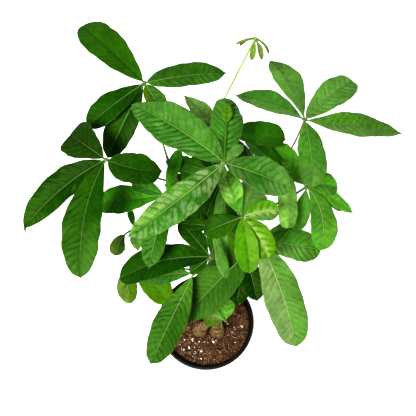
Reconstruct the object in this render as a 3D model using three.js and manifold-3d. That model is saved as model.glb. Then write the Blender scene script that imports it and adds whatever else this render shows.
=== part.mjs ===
// Potted money tree (Pachira): a black nursery pot filled with potting mix, three twisted
// stems that stand in it, and palmate leaves on long stalks. Millimetres, +Z up.
// The origin is the middle of the pot's underside. +Y points away from the viewer.
import * as THREE from "three";
import { mergeVertices } from "three/addons/utils/BufferGeometryUtils.js";
import Module from "manifold-3d";

const wasm = await Module();
wasm.setup();

const { sin, cos, hypot, PI, min, max, pow } = Math;
const deg = PI / 180;
const vec = (x, y, z) => new THREE.Vector3(x, y, z);

// Driving dimensions

const GAP = 0.3; // between pieces that touch
const POT = {
  rim: 75, // outer radius at the rim
  base: 55, // outer radius at the underside
  height: 120,
  wall: 1.8,
  floor: 3,
  lip: 8, // height of the band round the rim
  lipOut: 3, // how far the band stands out from the wall
  edge: 1, // rounding of the rim and the foot
  holes: 6,
  holeRadius: 4.5,
  holeRing: 38,
  sides: 40,
};
const SOIL = {
  level: 108, // height of the surface at the pot's wall
  mound: 4, // rise towards the stems
  bump: 1.2,
  rings: 6,
};
const STEM = {
  foot: 62, // height of the cut end, deep in the mix
  top: 285, // where the twist ends and the shoots part
  twist: 360, // turn of the three stems round each other, in degrees
  apart: 10.5, // from the middle of the twist to each stem
  drift: [4, 30], // sideways shift of the twist's middle from the mix to its top
  middle: [4, -5], // middle of the twist at the mix
  bulb: 12, // radius of the swollen foot
  waist: 6.2,
  shoot: 4.4,
  tip: 2.6,
  sides: 8,
  step: 13,
};
const STALK = { root: 2.6, middle: 1.3, end: 1.6, sides: 6, steps: 6 };
const HUB = 2.3; // radius of the knob that the leaflets spring from
const BLADE = {
  thick: 0.9,
  bare: 3, // length of each leaflet's bare base, where it is not given
  stemWide: 2.2,
  tipWide: 1.2,
  fold: 9, // how far each half rises from the midrib, in degrees
  wave: 0.04, // height of the edge's waves, as a share of the width
  steps: 40,
  stations: [0, 3, 8, 14, 21, 27, 33, 38, 40], // steps that get a row of points
  short: 49, // a leaflet shorter than this gets fewer rows
  fewer: [0, 5, 12, 20, 28, 36, 40],
};

// Each stem: where its foot stands, its place in the twist, and the points that its green
// shoot passes above the twist.
const STEMS = [
  {
    name: "stem_front_left", foot: [-9.5, -12.5], turn: 210,
    shoot: [[-10, 48, 330], [-26, 88, 368], [-40, 118, 397], [-47, 127, 412]],
  },
  {
    name: "stem_front_right", foot: [18, -14.5], turn: 330,
    shoot: [[26, 38, 330], [42, 64, 375], [52, 84, 425]],
  },
  {
    name: "stem_back", foot: [4, 13], turn: 90,
    shoot: [[18, 62, 330], [42, 100, 372], [58, 124, 412], [41, 137, 438], [-3, 156, 456]],
  },
];

// Each leaf: the stem that it grows from, the height there, the hub at the end of its stalk,
// and its leaflets. A leaflet points to a compass angle (0 is +X, 90 is +Y) and dips below
// level. It is so long and so wide. Where they are given, arch bends it down along its
// length, sweep bends it sideways, hook turns its tip, roll tips it about its midrib, a low
// blunt makes its tip round, widest is where it is widest, bare is the length of its bare base,
// and halves scales the widths of its left and right half. A stalk rises from its stem by the
// share rise of its length, and climbs to its hub by the share drop.
const LEAVES = [
  {
    name: "leaf_crown", stem: 1, at: 421, hub: [19, 56, 540], rise: 0.48, drop: 0.22,
    leaflets: [
      { to: 141.3, dip: 8, long: 128, wide: 44, sweep: 12, blunt: 0.8, widest: 0.48, bare: 1.5,
        halves: [1.1, 1.03] },
      { to: 86.5, dip: 15, long: 96, wide: 34, roll: 12, blunt: 0.55, widest: 0.54, bare: 1.5 },
      { to: 345, dip: 15, long: 72, wide: 38, blunt: 0.4, widest: 0.62, bare: 1.5 },
      { to: 216, dip: 12, long: 121, wide: 36, sweep: -12, blunt: 0.8, widest: 0.5, bare: 1.5,
        halves: [1.22, 0.82] },
      { to: 48, dip: 5, long: 30, wide: 12 },
      { to: 86.5, dip: 8, long: 77, wide: 12, arch: 12, widest: 0.5, bare: 50 },
      { to: 262, dip: 14, long: 17, wide: 9, bare: 2 },
    ],
  },
  {
    name: "leaf_fresh", stem: 1, at: 402, hub: [39, 23, 480],
    leaflets: [
      { to: 107, dip: 2, long: 60, wide: 25, sweep: -10, bare: 1.5 },
      { to: 10, dip: 2, long: 44, wide: 23, sweep: -24, roll: 8, bare: 1.5 },
      { to: 304, dip: 19, long: 53, wide: 31, sweep: -15, roll: 10, blunt: 0.5, bare: 1.5 },
      { to: 278, dip: 18, long: 60, wide: 26, blunt: 0.5, bare: 1.5 },
      { to: 198, dip: 18, long: 46, wide: 26, roll: -8, bare: 1.5 },
      { to: 69, dip: 22, long: 54, wide: 37, roll: 12, bare: 1.5 },
    ],
  },
  {
    name: "leaf_far_right", stem: 1, at: 384, hub: [113, 143, 480], slim: 0.75, rise: 0.04, drop: 0.4,
    leaflets: [
      { to: 112, dip: 5, long: 98, wide: 33, sweep: 22, roll: 12, blunt: 0.8 },
      { to: 151, dip: 10, long: 92, wide: 28, sweep: 16, blunt: 0.85, widest: 0.56,
        halves: [0.84, 1.1] },
      { to: 43, dip: 5, long: 86, wide: 35, sweep: -10, blunt: 0.36, widest: 0.66 },
      { to: 357, dip: 10, long: 119, wide: 34, sweep: 4, roll: -10, blunt: 0.9, widest: 0.54 },
      { to: 273, dip: 10, long: 80, wide: 34, sweep: -16, roll: -10, blunt: 0.5 },
    ],
  },
  {
    name: "leaf_right", stem: 1, at: 368, hub: [120, 88, 420],
    leaflets: [
      { to: 134, dip: -16, long: 70, wide: 32, sweep: -8, halves: [1, 1.15] },
      { to: 281, dip: 25, long: 83, wide: 33, arch: 30, sweep: -65, roll: -6 },
      { to: 4, dip: 18, long: 43, wide: 30, arch: 30, sweep: -30 },
      { to: 341, dip: 27, long: 74, wide: 19, sweep: -10, widest: 0.5 },
      { to: 341, dip: 36, long: 63, wide: 13, sweep: -10 },
      { to: 253, dip: 32, long: 57, wide: 22, sweep: -20 },
    ],
  },
  {
    name: "leaf_far_left", stem: 0, at: 405, hub: [-70, 187, 490],
    leaflets: [
      { to: 131.5, dip: 5, long: 123, wide: 38, sweep: -8, roll: -6, blunt: 0.42, widest: 0.64,
        halves: [0.98, 1.16] },
      { to: 11.5, dip: 5, long: 98, wide: 31, roll: 8, widest: 0.5 },
      { to: 303, dip: 20, long: 48, wide: 23, widest: 0.5 },
      { to: 217, dip: 12, long: 85, wide: 34 },
      { to: 239, dip: 28, long: 98, wide: 35, roll: -10 },
    ],
  },
  {
    name: "leaf_left", stem: 0, at: 388, hub: [-106, 81, 500],
    leaflets: [
      { to: 140.5, dip: 10, long: 58, wide: 42, roll: -12, blunt: 0.28, widest: 0.76 },
      { to: 354, dip: 12, long: 63, wide: 39, sweep: 34, widest: 0.5, halves: [0.92, 1.08] },
      { to: 216.5, dip: 20, long: 124, wide: 34, sweep: 24, roll: -15, blunt: 0.7,
        widest: 0.52, hook: 110, halves: [0.84, 1.12] },
      { to: 260, dip: 15, long: 130, wide: 41, sweep: 32, blunt: 0.6 },
    ],
  },
  {
    name: "leaf_inner_left", stem: 0, at: 352, hub: [-46, 72, 430],
    leaflets: [
      { to: 183, dip: 12, long: 90, wide: 35 },
      { to: 77, dip: 5, long: 68, wide: 16 },
      { to: 157, dip: 6, long: 46, wide: 19 },
      { to: 257, dip: 15, long: 88, wide: 29 },
    ],
  },
  {
    name: "leaf_low_left", stem: 0, at: 300, hub: [-15, 7, 336],
    leaflets: [
      { to: 244, dip: 12, long: 123, wide: 37, halves: [1.16, 1] },
      { to: 187, dip: 10, long: 71, wide: 25, sweep: 22 },
    ],
  },
  {
    name: "leaf_front", stem: 1, at: 306, hub: [52, 35, 332],
    leaflets: [
      { to: 222.5, dip: 19, long: 124, wide: 53, blunt: 0.75, widest: 0.45, halves: [1.04, 0.95] },
      { to: 284, dip: 20, long: 62, wide: 30 },
      { to: 258, dip: 27, long: 68, wide: 30 },
      { to: 15, dip: 20, long: 50, wide: 24 },
    ],
  },
  {
    name: "leaf_inner_front", stem: 0, at: 318, hub: [6, 10, 390],
    leaflets: [
      { to: 190, dip: 15, long: 118, wide: 42, sweep: 34, roll: 8, blunt: 0.45, widest: 0.56 },
      { to: 128, dip: 5, long: 63, wide: 24 },
      { to: 74, dip: 8, long: 48, wide: 24 },
      { to: 216, dip: 10, long: 32, wide: 16 },
    ],
  },
  {
    name: "leaf_centre", stem: 1, at: 358, hub: [21, 98, 430],
    leaflets: [
      { to: 273, dip: 20, long: 112, wide: 32 },
      { to: 215, dip: 20, long: 65, wide: 26 },
      { to: 158, dip: 10, long: 60, wide: 22 },
      { to: 128, dip: 5, long: 40, wide: 22 },
      { to: 246, dip: 22, long: 57, wide: 24, widest: 0.68 },
      { to: 20, dip: 12, long: 52, wide: 28 },
    ],
  },
  {
    name: "leaf_inner_back", stem: 0, at: 350, hub: [-6, 113, 385],
    leaflets: [
      { to: 133, dip: 8, long: 54, wide: 24 },
      { to: 93, dip: 5, long: 50, wide: 20 },
      { to: 182, dip: 12, long: 48, wide: 26 },
      { to: 270, dip: 15, long: 66, wide: 24 },
      { to: 312, dip: 20, long: 44, wide: 20 },
    ],
  },
  {
    name: "leaf_folded", stem: 0, at: 322, hub: [7, 33, 430],
    leaflets: [
      { to: 287.5, dip: 22, long: 62, wide: 14, blunt: 0.7, widest: 0.7 },
      { to: 168, dip: 15, long: 38, wide: 17 },
    ],
  },
  {
    name: "leaf_inner_right", stem: 1, at: 412, hub: [92, 93, 455],
    leaflets: [
      { to: 274, dip: 35, long: 69, wide: 23, blunt: 0.3 },
      { to: 128, dip: 15, long: 72, wide: 24, sweep: -18, roll: 10 },
    ],
  },
  {
    name: "leaf_front_right", stem: 1, at: 344, hub: [64, 33, 388],
    leaflets: [
      { to: 289, dip: 15, long: 134, wide: 45, sweep: -14, roll: 8, blunt: 0.5 },
      { to: 355, dip: 12, long: 80, wide: 38, sweep: 6, roll: 10, blunt: 0.5 },
      { to: 23, dip: 15, long: 63, wide: 20 },
    ],
  },
  {
    name: "leaf_sprout", stem: 1, at: 124, hub: [27.7, -24.8, 220], slim: 0.9,
    leaflets: [
      { to: 171, dip: 12, long: 36, wide: 29, sweep: 50, blunt: 0.5 },
      { to: 82, dip: 2, long: 34, wide: 22 },
    ],
  },
  {
    name: "leaf_lowest_left", stem: 0, at: 290, hub: [-99, 36, 300],
    leaflets: [
      { to: 271, dip: 30, long: 59, wide: 27, sweep: 50 },
      { to: 314, dip: 20, long: 77, wide: 36, sweep: -15 },
    ],
  },
  {
    name: "leaf_outer_left", stem: 0, at: 376, hub: [-87, 50, 380],
    leaflets: [
      { to: 236, dip: 20, long: 42, wide: 19, sweep: 80, blunt: 0.5, widest: 0.65, bare: 13 },
      { to: 281, dip: 30, long: 29, wide: 15, blunt: 1, widest: 0.45 },
      { to: 105, dip: 5, long: 30, wide: 9 },
    ],
  },
  {
    name: "leaf_back", stem: 2, at: 425, hub: [28, 132, 465],
    leaflets: [
      { to: 359, dip: 8, long: 67, wide: 34, sweep: -24, blunt: 0.5 },
      { to: 300, dip: 42, long: 46, wide: 22 },
    ],
  },
  {
    name: "leaf_back_left", stem: 2, at: 398, hub: [22, 157, 425],
    leaflets: [
      { to: 129.5, dip: 4, long: 80, wide: 23, blunt: 1, widest: 0.5 },
      { to: 200, dip: 12, long: 52, wide: 22 },
    ],
  },
  {
    name: "leaf_bud", stem: 2, at: 453, hub: [55, 210, 540], slim: 0.75,
    leaflets: [
      { to: 204, dip: 15, long: 21, wide: 4, arch: 50, sweep: 40 },
      { to: 194, dip: 10, long: 26, wide: 4, arch: 50, sweep: -20 },
      { to: 256, dip: 60, long: 27, wide: 7 },
      { to: 306, dip: 60, long: 29, wide: 7, sweep: -20 },
      { to: 336, dip: 50, long: 28, wide: 4, arch: 50, sweep: -30 },
    ],
  },
];

const COLOURS = {
  pot: { color: 0x191817, roughness: 0.5 },
  soil: { color: 0x4a2c1a, roughness: 0.95 },
  bark: { color: 0x7d6a48, roughness: 0.85 },
  leaf: { color: 0x2f7d1c, roughness: 0.45 },
  fresh: { color: 0x6cb818, roughness: 0.45 },
};
const FRESH_LEAVES = ["leaf_fresh", "leaf_sprout", "leaf_lowest_left", "leaf_bud"];

// Shared tools

const mix = THREE.MathUtils.lerp;
const smooth = THREE.MathUtils.smoothstep;

function solidOf(geometry) {
  const bare = geometry.clone();
  bare.deleteAttribute("normal");
  bare.deleteAttribute("uv");
  const merged = mergeVertices(bare, 1e-4);
  const vertProperties = merged.attributes.position.array;
  const triVerts = new Uint32Array(merged.index.array);
  return new wasm.Manifold(new wasm.Mesh({ numProp: 3, vertProperties, triVerts }));
}

function piece(name, look, solid) {
  const { vertProperties, triVerts } = solid.getMesh();
  const geometry = new THREE.BufferGeometry();
  geometry.setAttribute("position", new THREE.BufferAttribute(vertProperties, 3));
  geometry.setIndex(new THREE.BufferAttribute(triVerts, 1));
  geometry.computeVertexNormals();
  const mesh = new THREE.Mesh(geometry, new THREE.MeshStandardMaterial(COLOURS[look]));
  mesh.name = name;
  return mesh;
}

// A closed skin over rings of points that run anticlockwise as seen from the last ring.
// The sides listed in crossed are split along their other diagonal.
function skin(rings, crossed = []) {
  const sides = rings[0].length;
  const triangles = [];
  for (let k = 0; k + 1 < rings.length; k++)
    for (let i = 0; i < sides; i++) {
      const [a, b] = [k * sides + i, k * sides + ((i + 1) % sides)];
      const [c, d] = [b + sides, a + sides];
      if (crossed.includes(i)) triangles.push(a, b, d, b, c, d);
      else triangles.push(a, b, c, a, c, d);
    }
  const end = (rings.length - 1) * sides;
  for (let i = 1; i + 1 < sides; i++) triangles.push(0, i + 1, i, end, end + i, end + i + 1);
  const geometry = new THREE.BufferGeometry().setFromPoints(rings.flat());
  geometry.setIndex(triangles);
  return solidOf(geometry);
}

// A round bar of changing radius along a curve, lengthened at both ends if asked.
function bar(curve, radiusAt, sides, steps, lengthen = 0) {
  const { tangents, normals, binormals } = curve.computeFrenetFrames(steps, false);
  const rings = tangents.map((along, k) => {
    const centre = curve.getPointAt(k / steps);
    if (k === 0) centre.addScaledVector(along, -lengthen);
    if (k === steps) centre.addScaledVector(along, lengthen);
    return Array.from({ length: sides }, (_, i) => {
      const turn = (2 * PI * i) / sides;
      const out = normals[k].clone().multiplyScalar(cos(turn));
      out.addScaledVector(binormals[k], sin(turn));
      return centre.clone().addScaledVector(out, radiusAt(k / steps));
    });
  });
  return skin(rings);
}

// Pot and potting mix

// The inner face of the pot's wall at a height.
const potInside = (z) => mix(POT.base, POT.rim - POT.lipOut, z / POT.height) - POT.wall;

function pot() {
  const { rim, base, height, floor, lip, lipOut, edge, holeRadius, holeRing } = POT;
  const underLip = mix(base, rim - lipOut, (height - lip) / height);
  const profile = [
    [0, 0], [base - edge, 0], [base, edge], [underLip, height - lip], [rim - edge, height - lip],
    [rim, height - lip + edge], [rim, height - edge], [rim - edge, height],
    [potInside(height) + edge, height], [potInside(height - edge), height - edge],
    [potInside(floor), floor], [0, floor],
  ].map(([x, y]) => new THREE.Vector2(x, y));
  let solid = solidOf(new THREE.LatheGeometry(profile, POT.sides).rotateX(PI / 2));
  for (let k = 0; k < POT.holes; k++) {
    const turn = (2 * PI * (k + 0.5)) / POT.holes;
    const drill = new THREE.CylinderGeometry(holeRadius, holeRadius, 4 * floor, 12);
    drill.rotateX(PI / 2).translate(holeRing * cos(turn), holeRing * sin(turn), 0);
    solid = solid.subtract(solidOf(drill));
  }
  return solid;
}

// Low waves over the mix: sines that never line up.
const waves = (x, y) => sin(0.31 * x + 1.3) * cos(0.27 * y - 0.4) + 0.6 * sin(0.19 * x - 0.23 * y);

function soil() {
  const { level, mound, bump, rings } = SOIL;
  const bottom = POT.floor + GAP;
  const edge = potInside(level) - GAP;
  const profile = [new THREE.Vector2(0, bottom), new THREE.Vector2(potInside(bottom) - GAP, bottom)];
  for (let k = 0; k <= rings; k++) profile.push(new THREE.Vector2(edge * (1 - k / rings), level));
  const block = new THREE.LatheGeometry(profile, POT.sides).rotateX(PI / 2);
  const { position } = block.attributes;
  for (let i = 0; i < position.count; i++) {
    const [x, y, z] = [position.getX(i), position.getY(i), position.getZ(i)];
    const share = min(1, hypot(x, y) / edge);
    const rise = (1 - share * share) * (mound + bump * waves(x, y));
    if (z > bottom + 1) position.setZ(i, z + rise);
  }
  return solidOf(block);
}

// Stems

// The middle line of a stem: up from its foot, round the twist, and out along its shoot.
function stemCurve({ foot, turn, shoot }) {
  const { top, twist, apart, drift, middle, step } = STEM;
  const points = [];
  for (let z = STEM.foot; z < top; z += step) {
    const rise = max(0, (z - SOIL.level) / (top - SOIL.level));
    const angle = (turn + twist * rise) * deg;
    const x = middle[0] + drift[0] * rise + apart * cos(angle);
    const y = middle[1] + drift[1] * rise + apart * sin(angle);
    const join = smooth(z, SOIL.level, SOIL.level + 60);
    points.push(vec(mix(foot[0], x, join), mix(foot[1], y, join), z));
  }
  return new THREE.CatmullRomCurve3([...points, ...shoot.map((p) => vec(...p))]);
}
const curves = STEMS.map(stemCurve);

function stemRadius(z, end) {
  const { bulb, waist, shoot, tip, top } = STEM;
  const { level } = SOIL;
  const root = mix(0.75 * bulb, bulb, smooth(z, level - 30, level + 3));
  const wood = mix(root, waist, smooth(z, level + 4, level + 38));
  const green = mix(wood, shoot, smooth(z, top - 10, top + 45));
  return mix(green, tip, smooth(z, end - 60, end));
}

function stemSolid(k, grow = 0) {
  const curve = curves[k];
  const end = curve.getPoint(1).z;
  const steps = Math.round(curve.getLength() / STEM.step);
  const radiusAt = (u) => stemRadius(curve.getPointAt(u).z, end) + grow;
  return bar(curve, radiusAt, STEM.sides, steps, grow);
}

// The point on a stem's middle line at a height.
function stemPoint(k, height) {
  let [low, high] = [0, 1];
  for (let i = 0; i < 20; i++) {
    const half = (low + high) / 2;
    if (curves[k].getPoint(half).z < height) low = half;
    else high = half;
  }
  return curves[k].getPoint(low);
}

// Leaves

// Half the width of a blade at a share of its length, as a share of its greatest half width.
function outline(s, widest, blunt) {
  if (s <= 0 || s >= 1) return 0;
  const rise = (blunt * widest) / (1 - widest);
  return pow(s / widest, rise) * pow((1 - s) / (1 - widest), blunt);
}

// A blade: a thin slab, three points across, each half folded up a little from the midrib.
function blade(hub, leaflet, order) {
  const { to, dip, long, wide, arch = 18, sweep = 0, hook = 0, roll = 0 } = leaflet;
  const { blunt = 0.66, widest = 0.6, bare = BLADE.bare, halves = [1, 1] } = leaflet;
  const bareShare = bare / long;
  const stations = long < BLADE.short ? BLADE.fewer : BLADE.stations;
  const place = hub.clone();
  const rings = [];
  for (let k = 0; k <= BLADE.steps; k++) {
    const s = k / BLADE.steps;
    const turn = (to + sweep * (s - 0.5) + hook * smooth(s, 0.9, 1)) * deg;
    const down = (dip + arch * (s - 0.5)) * deg;
    const along = vec(cos(turn) * cos(down), sin(turn) * cos(down), -sin(down));
    if (stations.includes(k)) {
      const side = vec(-sin(turn), cos(turn), 0).applyAxisAngle(along, roll * deg);
      const up = along.clone().cross(side);
      const share = outline((s - bareShare) / (1 - bareShare), widest, blunt);
      const least = s < 0.5 ? BLADE.stemWide : BLADE.tipWide;
      const half = max(least, share * wide) / 2;
      const reach = halves.map((scale) => half * (1 + (scale - 1) * min(1, 4 * share)));
      const rise = half * share * sin(BLADE.fold * deg);
      const wave = BLADE.wave * wide * share * sin(7.5 * s + 1.7 * order);
      const at = (across, lift, face) =>
        place.clone().addScaledVector(side, across).addScaledVector(up, lift + (face * BLADE.thick) / 2);
      const [left, right] = [rise + wave, rise - wave];
      rings.push([
        at(0, 0, 1), at(-reach[1], right, 1), at(-reach[1], right, -1),
        at(0, 0, -1), at(reach[0], left, -1), at(reach[0], left, 1),
      ]);
    }
    place.addScaledVector(along, long / BLADE.steps);
  }
  return skin(rings, [2, 5]);
}

// A leaf's long stalk, from inside its stem to the hub.
function stalk({ stem, at, hub, slim = 1, rise = 0.25, drop = 0.25 }) {
  const start = stemPoint(stem, at);
  const end = vec(...hub);
  const reach = end.clone().sub(start);
  const span = reach.length();
  const out = vec(reach.x, reach.y, 0).normalize();
  const leave = start.clone().addScaledVector(out, (0.5 - rise) * span).add(vec(0, 0, rise * span));
  const arrive = end.clone().addScaledVector(out, (drop - 0.47) * span).add(vec(0, 0, -drop * span));
  const curve = new THREE.CubicBezierCurve3(start, leave, arrive, end);
  const radiusAt = (u) => {
    const low = mix(STALK.root, STALK.middle, smooth(u * span, 3, 16));
    return slim * mix(low, STALK.end, smooth(u, 0.9, 1));
  };
  return bar(curve, radiusAt, STALK.sides, STALK.steps);
}

function leafSolid(leaf) {
  const hub = vec(...leaf.hub);
  const knob = new THREE.IcosahedronGeometry(HUB * (leaf.slim ?? 1)).translate(...leaf.hub);
  let whole = stalk(leaf).add(solidOf(knob));
  leaf.leaflets.forEach((leaflet, order) => {
    whole = whole.add(blade(hub, leaflet, order));
  });
  return whole.subtract(stemSolid(leaf.stem, GAP));
}

// The whole plant

const plant = new THREE.Group();
plant.add(piece("pot", "pot", pot()));
let filling = soil();
STEMS.forEach((stem, k) => {
  filling = filling.subtract(stemSolid(k, GAP));
  plant.add(piece(stem.name, "bark", stemSolid(k)));
});
plant.add(piece("soil", "soil", filling));
for (const leaf of LEAVES) {
  const look = FRESH_LEAVES.includes(leaf.name) ? "fresh" : "leaf";
  plant.add(piece(leaf.name, look, leafSolid(leaf)));
}

export default plant;
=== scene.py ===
# Potted money tree: leaves, stems, potting mix and pot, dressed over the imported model.
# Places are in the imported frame. Shapes are worked out in millimetres and built in metres, and the
# lengths in the materials, the camera and the light are metres.
import random
from math import cos, pi, radians, sin
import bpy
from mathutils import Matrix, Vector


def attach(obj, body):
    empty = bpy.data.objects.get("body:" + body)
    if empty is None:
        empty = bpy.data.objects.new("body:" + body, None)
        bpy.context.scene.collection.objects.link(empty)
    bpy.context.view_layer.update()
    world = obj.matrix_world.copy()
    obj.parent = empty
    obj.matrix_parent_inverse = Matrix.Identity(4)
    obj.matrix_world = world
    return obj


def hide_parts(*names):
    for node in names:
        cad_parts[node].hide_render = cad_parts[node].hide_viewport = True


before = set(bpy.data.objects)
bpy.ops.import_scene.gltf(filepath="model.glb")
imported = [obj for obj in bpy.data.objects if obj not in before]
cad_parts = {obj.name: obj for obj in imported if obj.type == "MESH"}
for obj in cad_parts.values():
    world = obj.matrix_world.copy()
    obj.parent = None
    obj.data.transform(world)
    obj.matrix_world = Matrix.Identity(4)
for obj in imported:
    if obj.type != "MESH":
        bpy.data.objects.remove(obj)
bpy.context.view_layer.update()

from types import SimpleNamespace

import bpy
import numpy as np

MM = 0.001
ANY_TURN = 6.28  # a full turn, for random draws

# Light and camera

LIGHT = dict(world=0.5, key=100, place=(-0.7, -1.0, 2.2), aim=(0, 0.05, 0.3), size=0.7, floor=0.6)
LIGHT_GAIN = 0.55  # the parts are lit by more than white, so they are painted darker
CAMERA = dict(place=(0.0031, -0.2368, 1.0873), down=66, lens=54, sensor=36)  # lens and sensor in mm
FLOOR = dict(size=12, drop=0.0005)

# Sizes of the pot, the mix and the stems

POT = dict(rim=75, base=55, height=120, wall=1.8, floor=3, lip=8, lip_out=3)
HOLES = dict(count=6, radius=4.5, ring=38, drill=20)
SOIL = dict(level=108, mound=4, bump=1.2, gap=0.3)
STEM = dict(
    foot=62, top=285, twist=360, apart=10.5, drift=(4, 30), middle=(4, -5),
    bulb=12, waist=6.2, shoot=4.4, tip=2.6, step=13,
)
BARK = dict(row=0.9, sides=32, rings_apart=5, ring_depth=0.8)
GREEN_WOOD = (0.20, 0.33)  # heights in metres between which bark gives way to the green shoot
STALK = dict(root=2.6, middle=1.3, end=1.6, sides=12)
KNOB = dict(size=2.3, rings=9, sides=14)
BLADE = dict(
    thick=0.6, stem_wide=2.2, fold=9, wave=0.04, steps=40,
    row=0.85,  # length of a row of faces
    column=3.2,  # width of a column of faces, about
    vein=8.0,  # distance between side veins along the midrib
    lean=0.6,  # how far a side vein leans towards the tip
    bend=0.011,  # how much more it leans towards the edge
    quilt=1.0,  # depth of a side vein between its swollen fields
)

# Named colours of the leaves, as the photo shows them, before paint() works on them. They mix the leaves' own
# greens with painted light and shade: a half, tip or base given a lighter look than the rest of its leaflet
# holds painted light, one given a darker look holds painted shade

LOOKS = {
    "night": (14, 64, 2),
    "deep": (26, 80, 3),
    "dark": (38, 90, 5),
    "olive": (36, 73, 11),
    "grass": (50, 104, 9),
    "moss": (54, 104, 25),
    "forest": (64, 117, 33),
    "mid": (74, 136, 44),
    "green": (88, 148, 42),
    "bright": (97, 151, 61),
    "soft": (106, 160, 68),
    "mint": (121, 184, 74),
    "pale": (134, 170, 96),
    "vivid": (66, 150, 20),
    "leafy": (84, 172, 34),
    "sun": (108, 198, 48),
    "fern": (92, 165, 50),
    "sap": (134, 202, 76),
    "gleam": (174, 240, 106),
    "zest": (91, 160, 19),
    "jade": (62, 132, 34),
    "herb": (80, 143, 46),
    "warm": (90, 146, 13),
    "lime": (100, 156, 33),
    "glow": (132, 188, 84),
    "flash": (150, 228, 84),
    "gold": (112, 147, 52),
    "bud": (80, 119, 19),
    "sprig": (132, 164, 52),
    "twig": (112, 94, 50),
    "dull": (144, 196, 97),
    "dusk": (93, 123, 43),
}

STEMS = {
    "stem_front_left": dict(foot=(-9.5, -12.5), turn=210,
        shoot=[(-10, 48, 330), (-26, 88, 368), (-40, 118, 397), (-47, 127, 412)]),
    "stem_front_right": dict(foot=(18, -14.5), turn=330,
        shoot=[(26, 38, 330), (42, 64, 375), (52, 84, 425)]),
    "stem_back": dict(foot=(4, 13), turn=90,
        shoot=[(18, 62, 330), (42, 100, 372), (58, 124, 412), (41, 137, 438), (-3, 156, 456)]),
}
PAIRS = ("halves", "quilt", "lines", "sheen")  # what may differ between a leaflet's halves


def leaflet(to, dip, long, wide, look, other=None, tip=None, **shape):
    """One leaflet: where it points, its dip and size, and the looks of its two halves and tip, into which
    light and shade are painted.

    halves, quilt, lines and sheen are a pair for the left and right half, or one number for both.
    """
    form = dict(
        arch=18,  # how far it bends down from its base to its tip
        sweep=0,  # how far it bends sideways
        roll=0,  # turn about its midrib
        hook=0,  # extra turn of the last part
        widest=0.6,  # where it is widest, as a share of its length
        blunt=0.66,  # less makes its ends fuller
        bare=3,  # length of the bare base
        point=4,  # length of the drawn-out tip
        ruffle=0,  # height of the waves in the edge
        halves=1,  # width against half the leaflet's width
        quilt=0.6,  # share of the full quilting
        lines=-0.4,  # side veins: below nought creases of painted shade with painted highlights on the ridges behind them, above it pale lines
        sheen=0,  # above nought a painted sheen in pale streaks, below it a painted highlight in pale yellow beside the midrib
        rib=0.8,  # midrib: below nought darker, above it paler, and past 0.8 brighter too
        base=None,  # look of the part near the stalk, with the light and shade painted there
    )
    form.update(shape, to=to, dip=dip, long=long, wide=wide)
    form.update(left=look, right=other or look, tip=tip)
    for name in PAIRS:
        if not isinstance(form[name], tuple):
            form[name] = (form[name], form[name])
    return form


def leaf(stem, at, hub, *leaflets, slim=1, rise=0.25, drop=0.25, stalk="stalk"):
    """One leaf: its stem, the height where it leaves it, its hub and its leaflets."""
    curve = dict(slim=slim, rise=rise, drop=drop, stalk=stalk)
    return dict(curve, stem=stem, at=at, hub=hub, leaflets=leaflets)


FAINT = dict(quilt=0.3, lines=-0.2)  # shallow side veins that hardly show

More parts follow.
